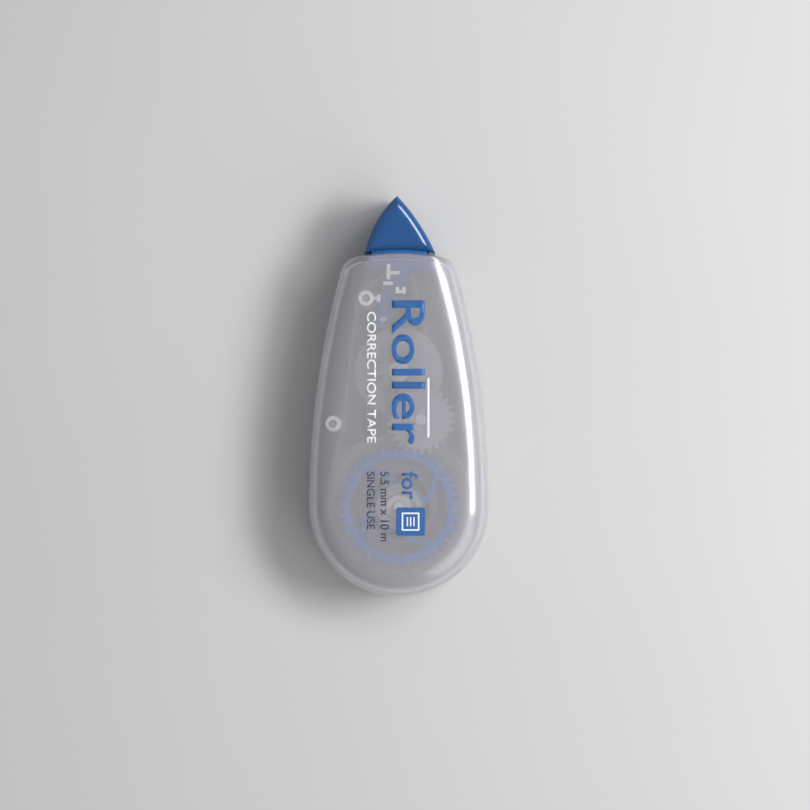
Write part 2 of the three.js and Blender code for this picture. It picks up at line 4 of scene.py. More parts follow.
import bmesh
import bpy
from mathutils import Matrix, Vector


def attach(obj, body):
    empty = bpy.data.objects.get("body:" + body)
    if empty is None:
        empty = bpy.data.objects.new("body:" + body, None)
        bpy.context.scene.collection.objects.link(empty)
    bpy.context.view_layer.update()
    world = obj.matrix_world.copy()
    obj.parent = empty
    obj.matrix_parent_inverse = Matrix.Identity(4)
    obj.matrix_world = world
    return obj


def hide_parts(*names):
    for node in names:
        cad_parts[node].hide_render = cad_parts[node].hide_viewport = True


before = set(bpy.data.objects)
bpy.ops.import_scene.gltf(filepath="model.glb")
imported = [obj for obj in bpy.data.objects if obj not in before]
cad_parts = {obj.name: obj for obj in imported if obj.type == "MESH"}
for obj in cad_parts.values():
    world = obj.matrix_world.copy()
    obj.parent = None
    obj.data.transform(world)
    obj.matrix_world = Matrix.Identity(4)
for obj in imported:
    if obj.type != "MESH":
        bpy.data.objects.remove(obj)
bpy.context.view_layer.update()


# ---------------------------------------------------------------- rear shell
# The back half of the casing is injection-moulded in frosted polypropylene. Its wall carries every post that
# the reels, gears and tape run on, and a thin lip round its rim fits inside the front shell.

BODY_LENGTH, BODY_WIDTH = 68.9, 36.0
SHOULDER_WIDTH, SHOULDER_DROP, SHOULDER_RADIUS = 23.4, 3.9, 4.2
BROW_RADIUS = 42.0
WALL = 1.3
SEAM_GAP, LIP_WALL, LIP_HEIGHT, LIP_GAP = 0.15, 0.55, 1.1, 0.25
REAR_ROUND = (3.0, 3.0, 1.0)
CAP_LENGTH = 11.1
SUPPLY_Y, TAKE_UP_Y, BROW_Y = -22.0, 5.0, 28.9
THICKNESS, SEAM_Z, INNER_FRONT_Z = 15.0, 7.5, 13.7
GUARD_Z, GEAR_Z, GEAR_TOP_Z, RETAINER_TOP_Z = 8.7, 9.6, 11.4, 12.6
SUPPLY_AXIS, TAKE_UP_AXIS = complex(0, SUPPLY_Y), complex(0, TAKE_UP_Y)
IDLER_AXIS = complex(4.38257, -4.541667)
UPPER_GUIDE, LOWER_GUIDE = complex(-6.5, 19.5), complex(-13, -5.4)
STEM_FOOT = TAKE_UP_AXIS + cmath.rect(10.8, math.radians(107.3))


def bearing(start, end):
    """The direction from one point to another, with points in a plane written as complex numbers."""
    return cmath.phase(end - start)


def arc(centre, radius, start, end, steps):
    """Points along an arc, both ends included."""
    return [centre + cmath.rect(radius, start + (end - start) * i / steps) for i in range(steps + 1)]


def circles_meet(a, reach_a, b, reach_b, hint):
    """Where two circles cross, at the crossing nearer to the hint."""
    apart = b - a
    d = abs(apart)
    along = (d * d + reach_a**2 - reach_b**2) / (2 * d)
    across = math.sqrt(reach_a**2 - along**2)
    both = [a + apart / d * complex(along, side * across) for side in (1, -1)]
    return min(both, key=lambda p: abs(p - hint))


def casing_outline(side, brow):
    """The casing's teardrop, anticlockwise, with its sides and its brow moved in by their own amounts."""
    tail_steps, side_steps, shoulder_steps, brow_steps, least_corner = 30, 18, 10, 8, 0.5
    rise = BODY_LENGTH - BODY_WIDTH / 2 - SHOULDER_DROP
    shift = (BODY_WIDTH - SHOULDER_WIDTH) / 2
    side_radius = (rise**2 + shift**2) / (2 * shift)
    corner = max(SHOULDER_RADIUS - side, least_corner)
    side_centre = complex(BODY_WIDTH / 2 - side_radius, SUPPLY_Y)
    brow_centre = complex(0, BROW_Y - BROW_RADIUS)
    shoulder = circles_meet(
        side_centre,
        side_radius - side - corner,
        brow_centre,
        BROW_RADIUS - brow - corner,
        complex(SHOULDER_WIDTH / 2, BROW_Y),
    )
    side_end, brow_start = bearing(side_centre, shoulder), bearing(brow_centre, shoulder)
    half = arc(SUPPLY_AXIS, BODY_WIDTH / 2 - side, -math.pi / 2, 0, tail_steps)
    half += arc(side_centre, side_radius - side, 0, side_end, side_steps)[1:]
    half += arc(shoulder, corner, side_end, brow_start, shoulder_steps)[1:]
    half += arc(brow_centre, BROW_RADIUS - brow, brow_start, math.pi / 2, brow_steps)[1:]
    return half + [complex(-p.real, p.imag) for p in reversed(half[1:-1])]


def new_piece(name, verts, faces):
    """A mesh object from points in millimetres, with its faces turned outwards."""
    mesh = bpy.data.meshes.new(name)
    mesh.from_pydata([(x / 1000, y / 1000, z / 1000) for x, y, z in verts], [], faces)
    bm = bmesh.new()
    bm.from_mesh(mesh)
    if bm.calc_volume(signed=True) < 0:
        bmesh.ops.reverse_faces(bm, faces=bm.faces)
    bm.to_mesh(mesh)
    bm.free()
    piece = bpy.data.objects.new(name, mesh)
    bpy.context.scene.collection.objects.link(piece)
    return piece


def lofted(name, rings, pole=False):
    """A closed body through rings of the same count, each a list of (x, y, z)."""
    count = len(rings[0])
    verts = [v for ring in rings for v in ring]
    faces = []
    for k in range(len(rings) - 1):
        for i in range(count):
            a, b = k * count + i, k * count + (i + 1) % count
            faces.append((a, b, b + count, a + count))
    last = (len(rings) - 1) * count
    if pole:
        for start, ring in ((0, rings[0]), (last, rings[-1])):
            verts.append(tuple(sum(v[axis] for v in ring) / count for axis in range(3)))
            tip = len(verts) - 1
            turn = 1 if start else -1
            faces += [(start + i, start + (i + 1) % count, tip)[::turn] for i in range(count)]
    else:
        faces.append(tuple(range(count))[::-1])
        faces.append(tuple(range(last, last + count)))
    return new_piece(name, verts, faces)


def level(outline, z):
    """An outline as a ring of points at one height."""
    return [(p.real, p.imag, z) for p in outline]


def face_rings(outline, z):
    """Rings that shrink an outline towards the middle of a flat face, widest first."""
    middle = complex(0, -6)
    return [level([middle + (p - middle) * share for p in outline], z)
            for share in (0.97, 0.9, 0.78, 0.64, 0.48, 0.32, 0.16, 0.06)]


def rounded_rings(inset, round_over, face_z, outward, steps):
    """Rings up a rounded-over edge, from the straight side to the face."""
    width, depth, brow = round_over
    rings = []
    for i in range(steps + 1):
        angle = math.pi / 2 * i / steps
        inwards = 1 - math.cos(angle)
        outline = casing_outline(inset + width * inwards, inset + brow * inwards)
        rings.append(level(outline, face_z - outward * depth * (1 - math.sin(angle))))
    return rings


def shell_rings(outer, rim, inner):
    """One unbroken surface: middle of the outer face, over the edge, round the rim, and back inside."""
    return outer[::-1] + rim + inner


def applied(piece):
    """A plain mesh of the piece with its modifiers worked out."""
    return bpy.data.meshes.new_from_object(piece.evaluated_get(bpy.context.evaluated_depsgraph_get()))


def combined(piece, tools, how, finish=None):
    """Joins other bodies to a piece, or cuts them out of it. Their own faces keep their finish."""
    for tool in tools:
        if finish:
            tool.data.materials.append(finish)
        step = piece.modifiers.new("join", "BOOLEAN")
        step.operation, step.object, step.solver, step.material_mode = how, tool, "EXACT", "TRANSFER"
    mesh = applied(piece)
    piece.modifiers.clear()
    piece.data = mesh
    for tool in tools:
        bpy.data.objects.remove(tool)
    return piece


def smoothed(piece, sharp=35):
    """Merges stray doubles and shades the surface smooth, but for its real corners."""
    bm = bmesh.new()
    bm.from_mesh(piece.data)
    bmesh.ops.remove_doubles(bm, verts=bm.verts, dist=1e-7)
    bmesh.ops.dissolve_degenerate(bm, edges=bm.edges, dist=1e-7)
    bm.to_mesh(piece.data)
    bm.free()
    piece.data.shade_smooth()
    piece.data.set_sharp_from_angle(angle=math.radians(sharp))
    return piece


def peg(name, centre, radius, low, high, chamfer=0.15, sides=48):
    """A round post or socket, chamfered at its free ends."""
    turns = [cmath.rect(1, 2 * math.pi * k / sides) for k in range(sides)]
    end = radius - chamfer
    steps = ((end, low), (radius, low + chamfer), (radius, high - chamfer), (end, high))
    return lofted(name, [level([centre + turn * r for turn in turns], z) for r, z in steps])


# The mouth is cut to the cap's own outline, so the cap's sizes are settled here.
CAP_LEFT, CAP_RIGHT, CAP_TIP_X = -6.9, 7.3, -0.3
CAP_LEFT_RADIUS, CAP_RIGHT_RADIUS = 19.5, 40.0
CAP_SEAT, CAP_WALL, CAP_CLEARANCE = 0.3, 1.1, 0.35
MOUTH_GAP, MOUTH_DEPTH = 0.3, 3.6
NECK_Z, NECK_TOP_Z = 2.3, 12.3


def arc_centre(start, end, radius):
    """The centre of an arc through two points, to the right of the way from one to the other."""
    chord = end - start
    right = chord / abs(chord) * -1j
    return (start + end) / 2 + right * math.sqrt(radius**2 - abs(chord) ** 2 / 4)


def cap_outline(inset, base_drop=0.0, steps=(16, 24, 28)):
    """The cap's pointed arch, anticlockwise from its base, moved in by an inset."""
    base_line = BROW_Y - CAP_SEAT
    tip = complex(CAP_TIP_X, BROW_Y + CAP_LENGTH)
    left, right = complex(CAP_LEFT, base_line), complex(CAP_RIGHT, base_line)
    left_centre = arc_centre(left, tip, CAP_LEFT_RADIUS)
    right_centre = arc_centre(tip, right, CAP_RIGHT_RADIUS)
    brow_centre = complex(0, BROW_Y - BROW_RADIUS)
    left_arc, right_arc = CAP_LEFT_RADIUS - inset, CAP_RIGHT_RADIUS - inset
    base_arc = BROW_RADIUS + CAP_SEAT + inset - base_drop
    apex = circles_meet(left_centre, left_arc, right_centre, right_arc, tip)
    base_left = circles_meet(left_centre, left_arc, brow_centre, base_arc, left)
    base_right = circles_meet(right_centre, right_arc, brow_centre, base_arc, right)
    left_end, right_end = bearing(brow_centre, base_left), bearing(brow_centre, base_right)
    across = arc(brow_centre, base_arc, left_end, right_end, steps[0])
    up = arc(right_centre, right_arc, bearing(right_centre, base_right), bearing(right_centre, apex), steps[1])
    down = arc(left_centre, left_arc, bearing(left_centre, apex), bearing(left_centre, base_left), steps[2])
    return across + up[1:] + down[1:-1]


def mouth_cut():
    """The opening that the head's neck stands in, a little larger than the neck all round."""
    outline = cap_outline(CAP_WALL + CAP_CLEARANCE - MOUTH_GAP, MOUTH_DEPTH)
    return lofted("mouth_cut", [level(outline, NECK_Z - MOUTH_GAP), level(outline, NECK_TOP_Z + MOUTH_GAP)])


def rim_rings(z, outward, rim_ease=0.12):
    """The eased outer edge where a shell meets the seam, read from the straight side down to the rim."""
    return [
        level(casing_outline(0, 0), z + outward * 2.0),
        level(casing_outline(0, 0), z + outward * rim_ease),
        level(casing_outline(rim_ease * 0.3, rim_ease * 0.3), z + outward * rim_ease * 0.3),
        level(casing_outline(rim_ease, rim_ease), z),
    ]


def inset_ring(inset, z):
    """The casing's outline moved in, at one height."""
    return level(casing_outline(inset, inset), z)


def grain_group():
    """Moulded plastic: fine spark-eroded grain, slow drift of colour, and gloss that varies a little."""
    millimetres, bump_height = 1000, 0.0001
    group = bpy.data.node_groups.new("moulded_grain", "ShaderNodeTree")
    inputs = (
        ("Colour", "Color"), ("Drift colour", "Color"), ("Drift size", "Float"), ("Grain size", "Float"),
        ("Grain depth", "Float"), ("Roughness", "Float"), ("Roughness spread", "Float"),
    )
    outputs = (("Colour", "Color"), ("Roughness", "Float"), ("Normal", "Vector"))
    for way, sockets in (("INPUT", inputs), ("OUTPUT", outputs)):
        for name, kind in sockets:
            group.interface.new_socket(name, in_out=way, socket_type="NodeSocket" + kind)
    add, link = group.nodes.new, group.links.new
    given, out, place = add("NodeGroupInput"), add("NodeGroupOutput"), add("ShaderNodeTexCoord")

    def noise(size, detail):
        scale, cloud = add("ShaderNodeMath"), add("ShaderNodeTexNoise")
        scale.operation = "DIVIDE"
        scale.inputs[0].default_value = millimetres
        cloud.inputs["Detail"].default_value = detail
        link(given.outputs[size], scale.inputs[1])
        link(scale.outputs[0], cloud.inputs["Scale"])
        link(place.outputs["Object"], cloud.inputs["Vector"])
        return cloud.outputs["Fac"]

    drift, grain = noise("Drift size", 2), noise("Grain size", 3)
    blend = add("ShaderNodeMix")
    blend.data_type = "RGBA"
    link(drift, blend.inputs["Factor"])
    link(given.outputs["Colour"], blend.inputs[6])
    link(given.outputs["Drift colour"], blend.inputs[7])
    link(blend.outputs[2], out.inputs["Colour"])
    centred, gloss = add("ShaderNodeMath"), add("ShaderNodeMath")
    centred.operation, gloss.operation = "SUBTRACT", "MULTIPLY_ADD"
    centred.inputs[1].default_value = 0.5
    link(grain, centred.inputs[0])
    link(centred.outputs[0], gloss.inputs[0])
    link(given.outputs["Roughness spread"], gloss.inputs[1])
    link(given.outputs["Roughness"], gloss.inputs[2])
    link(gloss.outputs[0], out.inputs["Roughness"])
    bump = add("ShaderNodeBump")
    bump.inputs["Distance"].default_value = bump_height
    link(given.outputs["Grain depth"], bump.inputs["Strength"])
    link(grain, bump.inputs["Height"])
    link(bump.outputs[0], out.inputs["Normal"])
    return group


moulded_grain = grain_group()


def moulded(name, colour, drift, grain, depth, roughness, spread=0.1, drift_size=9.0, **shader):
    """A moulded plastic: the grain group on a Principled shader, whose other sockets are set directly."""
    material = bpy.data.materials.new(name)
    material.use_nodes = True
    tree = material.node_tree
    surface = tree.nodes["Principled BSDF"]
    skin = tree.nodes.new("ShaderNodeGroup")
    skin.node_tree = moulded_grain
    skin.inputs["Colour"].default_value = (*colour, 1)
    skin.inputs["Drift colour"].default_value = (*drift, 1)
    skin.inputs["Drift size"].default_value = drift_size
    skin.inputs["Grain size"].default_value = grain
    skin.inputs["Grain depth"].default_value = depth
    skin.inputs["Roughness"].default_value = roughness
    skin.inputs["Roughness spread"].default_value = spread
    tree.links.new(skin.outputs["Colour"], surface.inputs["Base Color"])
    tree.links.new(skin.outputs["Roughness"], surface.inputs["Roughness"])
    tree.links.new(skin.outputs["Normal"], surface.inputs["Normal"])
    for socket, value in shader.items():
        surface.inputs[socket.replace("_", " ")].default_value = value
    return material


frosted_shell = moulded(
    "frosted_shell", (0.9, 0.885, 0.935), (0.94, 0.93, 0.96), grain=0.22, depth=0.05, roughness=0.25,
    spread=0.03, Transmission_Weight=0.82, IOR=1.49, Coat_Weight=0.9, Coat_Roughness=0.1,
)
thick_frost = moulded(
    "thick_frost", (0.92, 0.92, 0.94), (0.95, 0.95, 0.96), grain=0.22, depth=0.05, roughness=0.45,
)

INSIDE_REAR = (REAR_ROUND[0] - WALL, REAR_ROUND[1] - WALL, REAR_ROUND[2] / 2)

rear_outer = rounded_rings(0, REAR_ROUND, 0, -1, 12)
rear_outer += face_rings(casing_outline(REAR_ROUND[0], REAR_ROUND[2]), 0)
rear_inner = rounded_rings(WALL, INSIDE_REAR, WALL, -1, 10)
rear_inner += face_rings(casing_outline(WALL + INSIDE_REAR[0], WALL + INSIDE_REAR[2]), WALL)
LIP_EASE, LIP_TOP_Z = 0.1, SEAM_Z + LIP_HEIGHT
rear_rim = rim_rings(SEAM_Z, -1) + [
    inset_ring(WALL - LIP_WALL, SEAM_Z),
    inset_ring(WALL - LIP_WALL, LIP_TOP_Z - LIP_EASE),
    inset_ring(WALL - LIP_WALL + LIP_EASE, LIP_TOP_Z),
    inset_ring(WALL - LIP_EASE, LIP_TOP_Z),
    inset_ring(WALL, LIP_TOP_Z - LIP_EASE),
]
rear_shell = lofted("rear_shell_frosted", shell_rings(rear_outer, rear_rim, rear_inner), pole=True)
rear_shell.data.materials.append(frosted_shell)
combined(rear_shell, [mouth_cut()], "DIFFERENCE", frosted_shell)
# Posts, then the thinner pins on three of them, then the bores that the front shell's plugs enter: axis,
# radius and top.
POST_FOOT_Z, PIN_FOOT_Z, GUIDE_RADIUS = WALL - 0.4, GUARD_Z - 1, 1.55
WHEEL_POST_TOP_Z, GUIDE_PIN_TOP_Z = GEAR_TOP_Z + 0.3, INNER_FRONT_Z - 0.6
post_sizes = [
    (SUPPLY_AXIS, 2.5, RETAINER_TOP_Z), (TAKE_UP_AXIS, 2.1, WHEEL_POST_TOP_Z),
    (IDLER_AXIS, 1.2, WHEEL_POST_TOP_Z), (STEM_FOOT, 1.2, GUARD_Z),
    (UPPER_GUIDE, GUIDE_RADIUS, GUARD_Z), (LOWER_GUIDE, GUIDE_RADIUS, GUARD_Z),
]
pin_sizes = [
    (STEM_FOOT, 0.6, NECK_TOP_Z), (UPPER_GUIDE, 0.5, GUIDE_PIN_TOP_Z), (LOWER_GUIDE, 0.5, GUIDE_PIN_TOP_Z),
]
bore_sizes = [(SUPPLY_AXIS, 1.25), (TAKE_UP_AXIS, 1.05)]
posts = [peg("post", axis, radius, POST_FOOT_Z, top) for axis, radius, top in post_sizes]
combined(rear_shell, posts, "UNION", thick_frost)
pins = [peg("pin", axis, radius, PIN_FOOT_Z, top) for axis, radius, top in pin_sizes]
combined(rear_shell, pins, "UNION", thick_frost)
bores = [peg("bore", axis, radius, GEAR_Z, THICKNESS) for axis, radius in bore_sizes]
combined(rear_shell, bores, "DIFFERENCE", thick_frost)
smoothed(rear_shell)


def fitted(piece, material, body, slot, *nodes):
    """Gives a finished piece its material if it has none and the body it moves with, and hides the CAD nodes it
    stands for.
    """
    if not piece.data.materials:
        piece.data.materials.append(material)
    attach(piece, body)
    if nodes:
        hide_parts(*nodes)
    return piece


fitted(rear_shell, frosted_shell, "casing", "frosted_shell", "rear_shell")


# ---------------------------------------------------------------- supply reel and its slipping clutch
# The reel is natural polypropylene: a rear flange, a hub on the post and a spindle that the white tape core
# pushes on to. A rubber ring between the spindle and the drive gear's skirt lets the two slip.

FLANGE_Z, FLANGE_TOP_Z, TAPE_Z, TAPE_TOP_Z = 1.7, 2.5, 2.9, 8.4
SUPPLY_BORE, SUPPLY_HUB, SPINDLE, SPINDLE_INNER = 2.7, 3.6, 7.5, 6.5
SUPPLY_FLANGE, ROLL_INNER, ROLL_OUTER, CORE_INNER = 15.3, 9.2, 14.7, 7.8
HUB_TOP_Z = 9.2

natural_plastic = moulded(
    "natural_plastic", (0.4, 0.41, 0.44), (0.45, 0.46, 0.49), grain=0.3, depth=0.05, roughness=0.34,
    Subsurface_Weight=0.12, Subsurface_Scale=0.001,
)
white_plastic = moulded(
    "white_plastic", (0.47, 0.48, 0.51), (0.52, 0.53, 0.55), grain=0.3, depth=0.06, roughness=0.4,
)
rubber = moulded("rubber", (0.018, 0.019, 0.022), (0.03, 0.03, 0.034), grain=0.12, depth=0.3, roughness=0.72)

def eased(profile, radius):
    """A closed profile of (r, z) with each corner rounded a little."""
    longest_share = 0.45
    points = []
    for i, (r, z) in enumerate(profile):
        here = complex(r, z)
        before, after = complex(*profile[i - 1]), complex(*profile[(i + 1) % len(profile)])
        reach = min(radius, abs(before - here) * longest_share, abs(after - here) * longest_share)
        start, end = (here + (p - here) / abs(p - here) * reach for p in (before, after))
        middle = (start + end) / 4 + here / 2
        points += [start, middle, end]
    return [(p.real, p.imag) for p in points]


def turned(name, centre, profile, sides=96, ease=0.1):
    """A body of revolution about an upright axis."""
    points = eased(profile, ease) if ease else profile
    verts, faces = [], []
    for k in range(sides):
        turn = cmath.rect(1, 2 * math.pi * k / sides)
        for r, z in points:
            p = centre + turn * r
            verts.append((p.real, p.imag, z))
    count = len(points)
    for k in range(sides):
        for i in range(count):
            a, b = k * count, (k + 1) % sides * count
            j = (i + 1) % count
            faces.append((a + i, b + i, b + j, a + j))
    return new_piece(name, verts, faces)


reel_profile = [
    (SUPPLY_BORE, FLANGE_Z), (SUPPLY_FLANGE, FLANGE_Z), (SUPPLY_FLANGE, FLANGE_TOP_Z), (SPINDLE, FLANGE_TOP_Z),
    (SPINDLE, TAPE_TOP_Z), (SPINDLE_INNER, TAPE_TOP_Z),
    (SPINDLE_INNER, FLANGE_TOP_Z), (SUPPLY_HUB, FLANGE_TOP_Z),
    (SUPPLY_HUB, HUB_TOP_Z), (SUPPLY_BORE, HUB_TOP_Z),
]
supply_reel = smoothed(turned("supply_reel_hub", SUPPLY_AXIS, reel_profile, 128))
fitted(supply_reel, natural_plastic, "supply_reel", "natural_plastic", "supply_reel")


def ring_profile(inner, outer, low, high):
    """The square profile of a plain ring, to be turned."""
    return [(inner, low), (outer, low), (outer, high), (inner, high)]


CORE_GAP, GUARD_THICKNESS = 0.3, 0.25
core_profile = ring_profile(CORE_INNER, ROLL_INNER - CORE_GAP, TAPE_Z, TAPE_TOP_Z)
tape_core = smoothed(turned("tape_core_ring", SUPPLY_AXIS, core_profile, 96))
fitted(tape_core, white_plastic, "supply_reel", "white_plastic", "tape_core")

guard_profile = ring_profile(CORE_INNER, SUPPLY_FLANGE, GUARD_Z, GUARD_Z + GUARD_THICKNESS)
roll_guard = smoothed(turned("roll_guard_film", SUPPLY_AXIS, guard_profile, 128, ease=0.05))
clear_film = moulded(
    "clear_film", (0.86, 0.88, 0.9), (0.9, 0.91, 0.92), grain=0.5, depth=0.02, roughness=0.12,
    spread=0.04, Transmission_Weight=0.92, IOR=1.45,
)
fitted(roll_guard, clear_film, "supply_reel", "natural_plastic", "roll_guard")

CLUTCH_RADIUS, CLUTCH_SECTION, CLUTCH_SIDES, SKIRT_Z = 5.75, 0.45, 16, 7.1
clutch_profile = [
    (CLUTCH_RADIUS + CLUTCH_SECTION * math.cos(t), SKIRT_Z + CLUTCH_SECTION * (1 + math.sin(t)))
    for t in (2 * math.pi * k / CLUTCH_SIDES for k in range(CLUTCH_SIDES))
]
clutch_ring = smoothed(turned("clutch_ring_rubber", SUPPLY_AXIS, clutch_profile, 96, ease=0))
fitted(clutch_ring, rubber, "drive_gear", "rubber", "clutch_ring")


# ---------------------------------------------------------------- wound tape
# About ten metres of coated film wound on the core. The turns never line up exactly, so each side of the roll
# is finely ridged, and its edge shows the coating's warm white.

TURNS_SHOWN, RIDGE = 34, 0.035


def wound_profile(inner, outer, low, high, turns, ridge):
    """The profile of a wound roll, with every other turn standing back by the ridge."""
    step = (outer - inner) / turns
    down = [(inner + step * k, low + (ridge if k % 2 else 0)) for k in range(turns + 1)]
    up = [(outer - step * k, high - (ridge if (turns - k) % 2 else 0)) for k in range(turns + 1)]
    return down + up


def wound_material(name, light, dark, spacing, axis_y, roughness):
    """Edges of wound film: fine rings about the reel's axis, a little lighter and darker."""
    waves_at_scale_1 = 20
    material = bpy.data.materials.new(name)
    material.use_nodes = True
    tree = material.node_tree
    add, link = tree.nodes.new, tree.links.new
    surface = tree.nodes["Principled BSDF"]
    place, centre, rings = add("ShaderNodeTexCoord"), add("ShaderNodeMapping"), add("ShaderNodeTexWave")
    ramp, bump, cloud = add("ShaderNodeValToRGB"), add("ShaderNodeBump"), add("ShaderNodeTexNoise")
    centre.inputs["Location"].default_value = (0, -axis_y / 1000, 0)
    rings.wave_type, rings.rings_direction = "RINGS", "Z"
    rings.inputs["Scale"].default_value = 1000 / spacing / waves_at_scale_1
    rings.inputs["Distortion"].default_value = 0.6
    rings.inputs["Detail"].default_value = 1
    cloud.inputs["Scale"].default_value = 900
    ramp.color_ramp.elements[0].color = (*dark, 1)
    ramp.color_ramp.elements[1].color = (*light, 1)
    bump.inputs["Strength"].default_value = 0.25
    bump.inputs["Distance"].default_value = 0.00005
    link(place.outputs["Object"], centre.inputs["Vector"])
    link(centre.outputs[0], rings.inputs["Vector"])
    link(place.outputs["Object"], cloud.inputs["Vector"])
    link(rings.outputs["Fac"], ramp.inputs["Fac"])
    link(ramp.outputs[0], surface.inputs["Base Color"])
    link(cloud.outputs["Fac"], bump.inputs["Height"])
    link(bump.outputs[0], surface.inputs["Normal"])
    surface.inputs["Roughness"].default_value = roughness
    return material


coated_tape = wound_material("coated_tape", (0.62, 0.59, 0.58), (0.5, 0.47, 0.47), 0.33, SUPPLY_Y, 0.6)
roll_profile = wound_profile(ROLL_INNER, ROLL_OUTER, TAPE_Z, TAPE_TOP_Z, TURNS_SHOWN, RIDGE)
tape_roll = smoothed(turned("tape_roll_wound", SUPPLY_AXIS, roll_profile, 128, ease=0), 60)
fitted(tape_roll, coated_tape, "supply_reel", "coated_tape", "tape_roll")


# ---------------------------------------------------------------- drive gear, idler and take-up reel
# Three spur gears of half-millimetre module: a blue ring gear with four curved spring arms over the tape roll,
# a white idler, and the pale take-up reel, whose gear is moulded with its drum and front flange.

MODULE, PRESSURE, BACKLASH = 0.5, math.radians(20), 0.16
DRIVE_TEETH, IDLER_TEETH, TAKE_UP_TEETH = 46, 26, 16
RIM_WIDTH = 2.3
RIM_INNER = DRIVE_TEETH * MODULE / 2 + MODULE - RIM_WIDTH
ARM_COUNT, ARM_WIDTH, ARM_EASE, ARM_STEPS = 4, 1.5, 0.15, 14
ARM_START, ARM_SWEEP = math.radians(12), math.radians(36)


def round_repeat():
    """Geometry nodes that set copies of one sector round an upright axis and weld them into one body."""
    tree = bpy.data.node_groups.new("round_repeat", "GeometryNodeTree")
    new_socket = tree.interface.new_socket
    new_socket("Geometry", in_out="INPUT", socket_type="NodeSocketGeometry")
    sockets = {
        "copies": new_socket("Copies", in_out="INPUT", socket_type="NodeSocketInt"),
        "centre": new_socket("Centre", in_out="INPUT", socket_type="NodeSocketVector"),
        "phase": new_socket("Phase", in_out="INPUT", socket_type="NodeSocketFloat"),
        "finish": new_socket("Finish", in_out="INPUT", socket_type="NodeSocketMaterial"),
    }
    new_socket("Geometry", in_out="OUTPUT", socket_type="NodeSocketGeometry")
    add, link = tree.nodes.new, tree.links.new
    given, out = add("NodeGroupInput"), add("NodeGroupOutput")
    points, order = add("GeometryNodeMeshLine"), add("GeometryNodeInputIndex")
    share, angle = add("ShaderNodeMath"), add("ShaderNodeMath")
    turn, spread = add("ShaderNodeCombineXYZ"), add("GeometryNodeInstanceOnPoints")
    real, weld = add("GeometryNodeRealizeInstances"), add("GeometryNodeMergeByDistance")
    coat = add("GeometryNodeSetMaterial")
    points.mode = "OFFSET"
    points.inputs["Offset"].default_value = (0, 0, 0)
    link(given.outputs["Copies"], points.inputs["Count"])
    link(given.outputs["Centre"], points.inputs["Start Location"])
    share.operation, angle.operation = "DIVIDE", "MULTIPLY_ADD"
    share.inputs[0].default_value = 2 * math.pi
    link(given.outputs["Copies"], share.inputs[1])
    link(order.outputs[0], angle.inputs[0])
    link(share.outputs[0], angle.inputs[1])
    link(given.outputs["Phase"], angle.inputs[2])
    link(angle.outputs[0], turn.inputs["Z"])
    link(points.outputs[0], spread.inputs["Points"])
    link(given.outputs["Geometry"], spread.inputs["Instance"])
    link(turn.outputs[0], spread.inputs["Rotation"])
    link(spread.outputs[0], real.inputs[0])
    weld.inputs["Distance"].default_value = 2e-6
    link(real.outputs[0], weld.inputs["Geometry"])
    link(weld.outputs[0], coat.inputs["Geometry"])
    link(given.outputs["Finish"], coat.inputs["Material"])
    link(coat.outputs[0], out.inputs[0])
    return tree, sockets


repeat_tree, repeat_sockets = round_repeat()


def repeated(name, sector, copies, centre, phase, finish):
    """Copies of a sector made at the origin, set round a centre and turned into one plain mesh."""
    step = sector.modifiers.new("round", "NODES")
    step.node_group = repeat_tree
    step[repeat_sockets["copies"].identifier] = copies
    step[repeat_sockets["centre"].identifier] = (centre.real / 1000, centre.imag / 1000, 0.0)
    step[repeat_sockets["phase"].identifier] = phase
    step[repeat_sockets["finish"].identifier] = finish
    mesh = applied(sector)
    bpy.data.objects.remove(sector)
    bm = bmesh.new()
    bm.from_mesh(mesh)
    if bm.calc_volume(signed=True) < 0:
        bmesh.ops.reverse_faces(bm, faces=bm.faces)
    bm.to_mesh(mesh)
    bm.free()
    piece = bpy.data.objects.new(name, mesh)
    bpy.context.scene.collection.objects.link(piece)
    return piece


